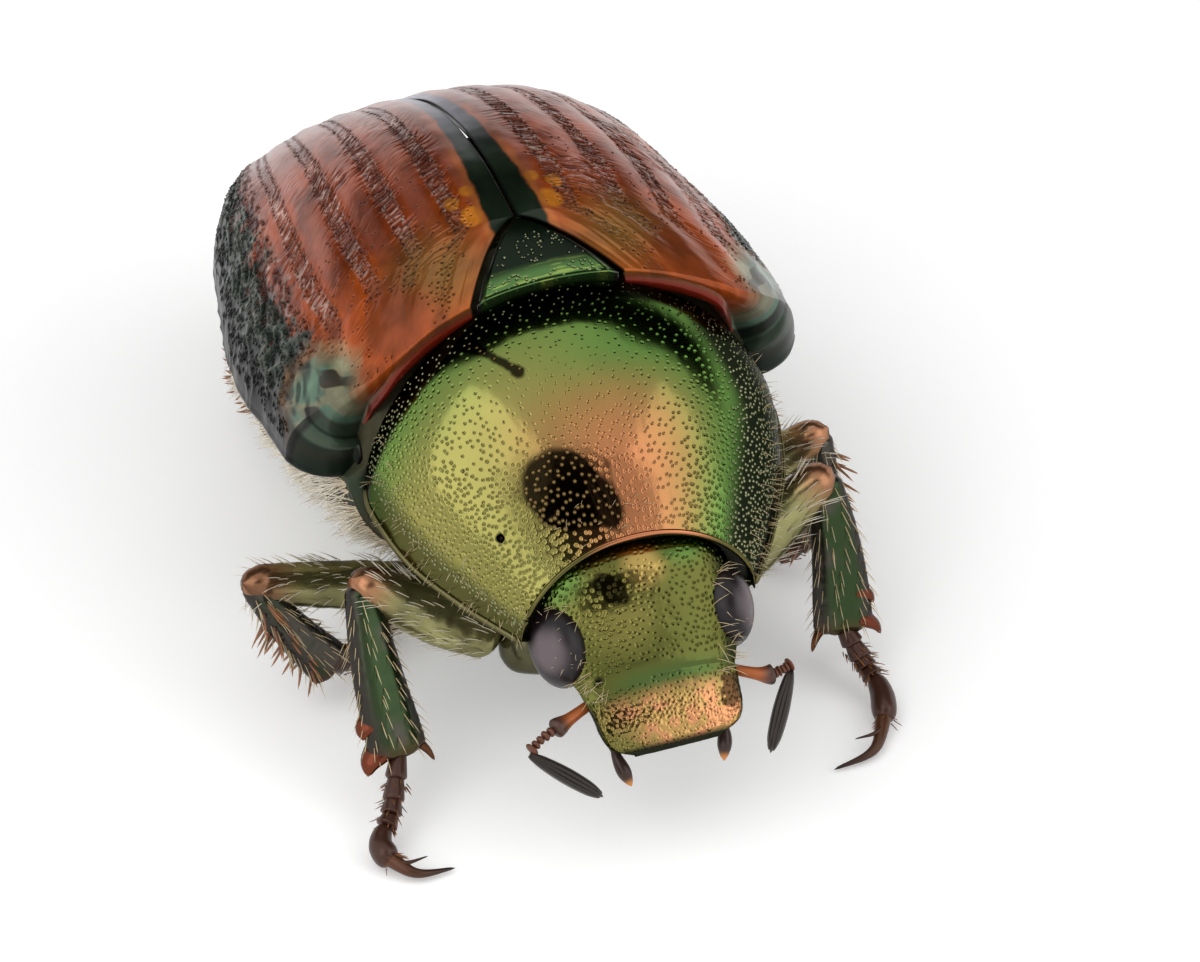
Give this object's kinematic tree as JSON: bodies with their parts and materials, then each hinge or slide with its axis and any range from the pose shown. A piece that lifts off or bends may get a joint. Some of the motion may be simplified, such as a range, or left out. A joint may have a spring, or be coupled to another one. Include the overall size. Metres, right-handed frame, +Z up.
{
  "type": "japanese beetle",
  "caption": "Still life-size beetle standing on its feet, with ribbed wing cases, clubbed antennae and spined legs.",
  "frame": {"origin": "middle of the bounding box's base, at the floor the feet stand on", "axes": "+Z up, -Y the way the head points, +X the beetle's left side"},
  "size_m": [0.0076, 0.011, 0.0052],
  "materials": {
    "green_cuticle": "glossy metallic green shell with coppery tints",
    "elytra_brown": "glossy coppery brown wing case",
    "dark_cuticle": "dark bronze, thinly haired shell",
    "leg_green": "satin bronze-green shell with bristles",
    "tarsus_brown": "glossy dark red-brown shell",
    "eye_black": "glossy near-black eye"
  },
  "bodies": {
    "root": {"abdomen": "dark_cuticle", "antenna_club_left": "tarsus_brown", "antenna_club_right": "tarsus_brown", "antenna_left": "tarsus_brown", "antenna_right": "tarsus_brown", "coxa_front_left": "leg_green", "coxa_front_right": "leg_green", "coxa_hind_left": "leg_green", "coxa_hind_right": "leg_green", "coxa_mid_left": "leg_green", "coxa_mid_right": "leg_green", "elytron_left": "elytra_brown", "elytron_right": "elytra_brown", "eye_left": "eye_black", "eye_right": "eye_black", "femur_front_left": "leg_green", "femur_front_right": "leg_green", "femur_hind_left": "leg_green", "femur_hind_right": "leg_green", "femur_mid_left": "leg_green", "femur_mid_right": "leg_green", "head": "green_cuticle", "hind_thorax": "dark_cuticle", "mouthparts": "dark_cuticle", "palp_left": "tarsus_brown", "palp_right": "tarsus_brown", "pronotum": "green_cuticle", "pygidium": "green_cuticle", "scutellum": "green_cuticle", "tarsus_front_left": "tarsus_brown", "tarsus_front_right": "tarsus_brown", "tarsus_hind_left": "tarsus_brown", "tarsus_hind_right": "tarsus_brown", "tarsus_mid_left": "tarsus_brown", "tarsus_mid_right": "tarsus_brown", "tibia_front_left": "leg_green", "tibia_front_right": "leg_green", "tibia_hind_left": "leg_green", "tibia_hind_right": "leg_green", "tibia_mid_left": "leg_green", "tibia_mid_right": "leg_green"}
  },
  "joints": []
}
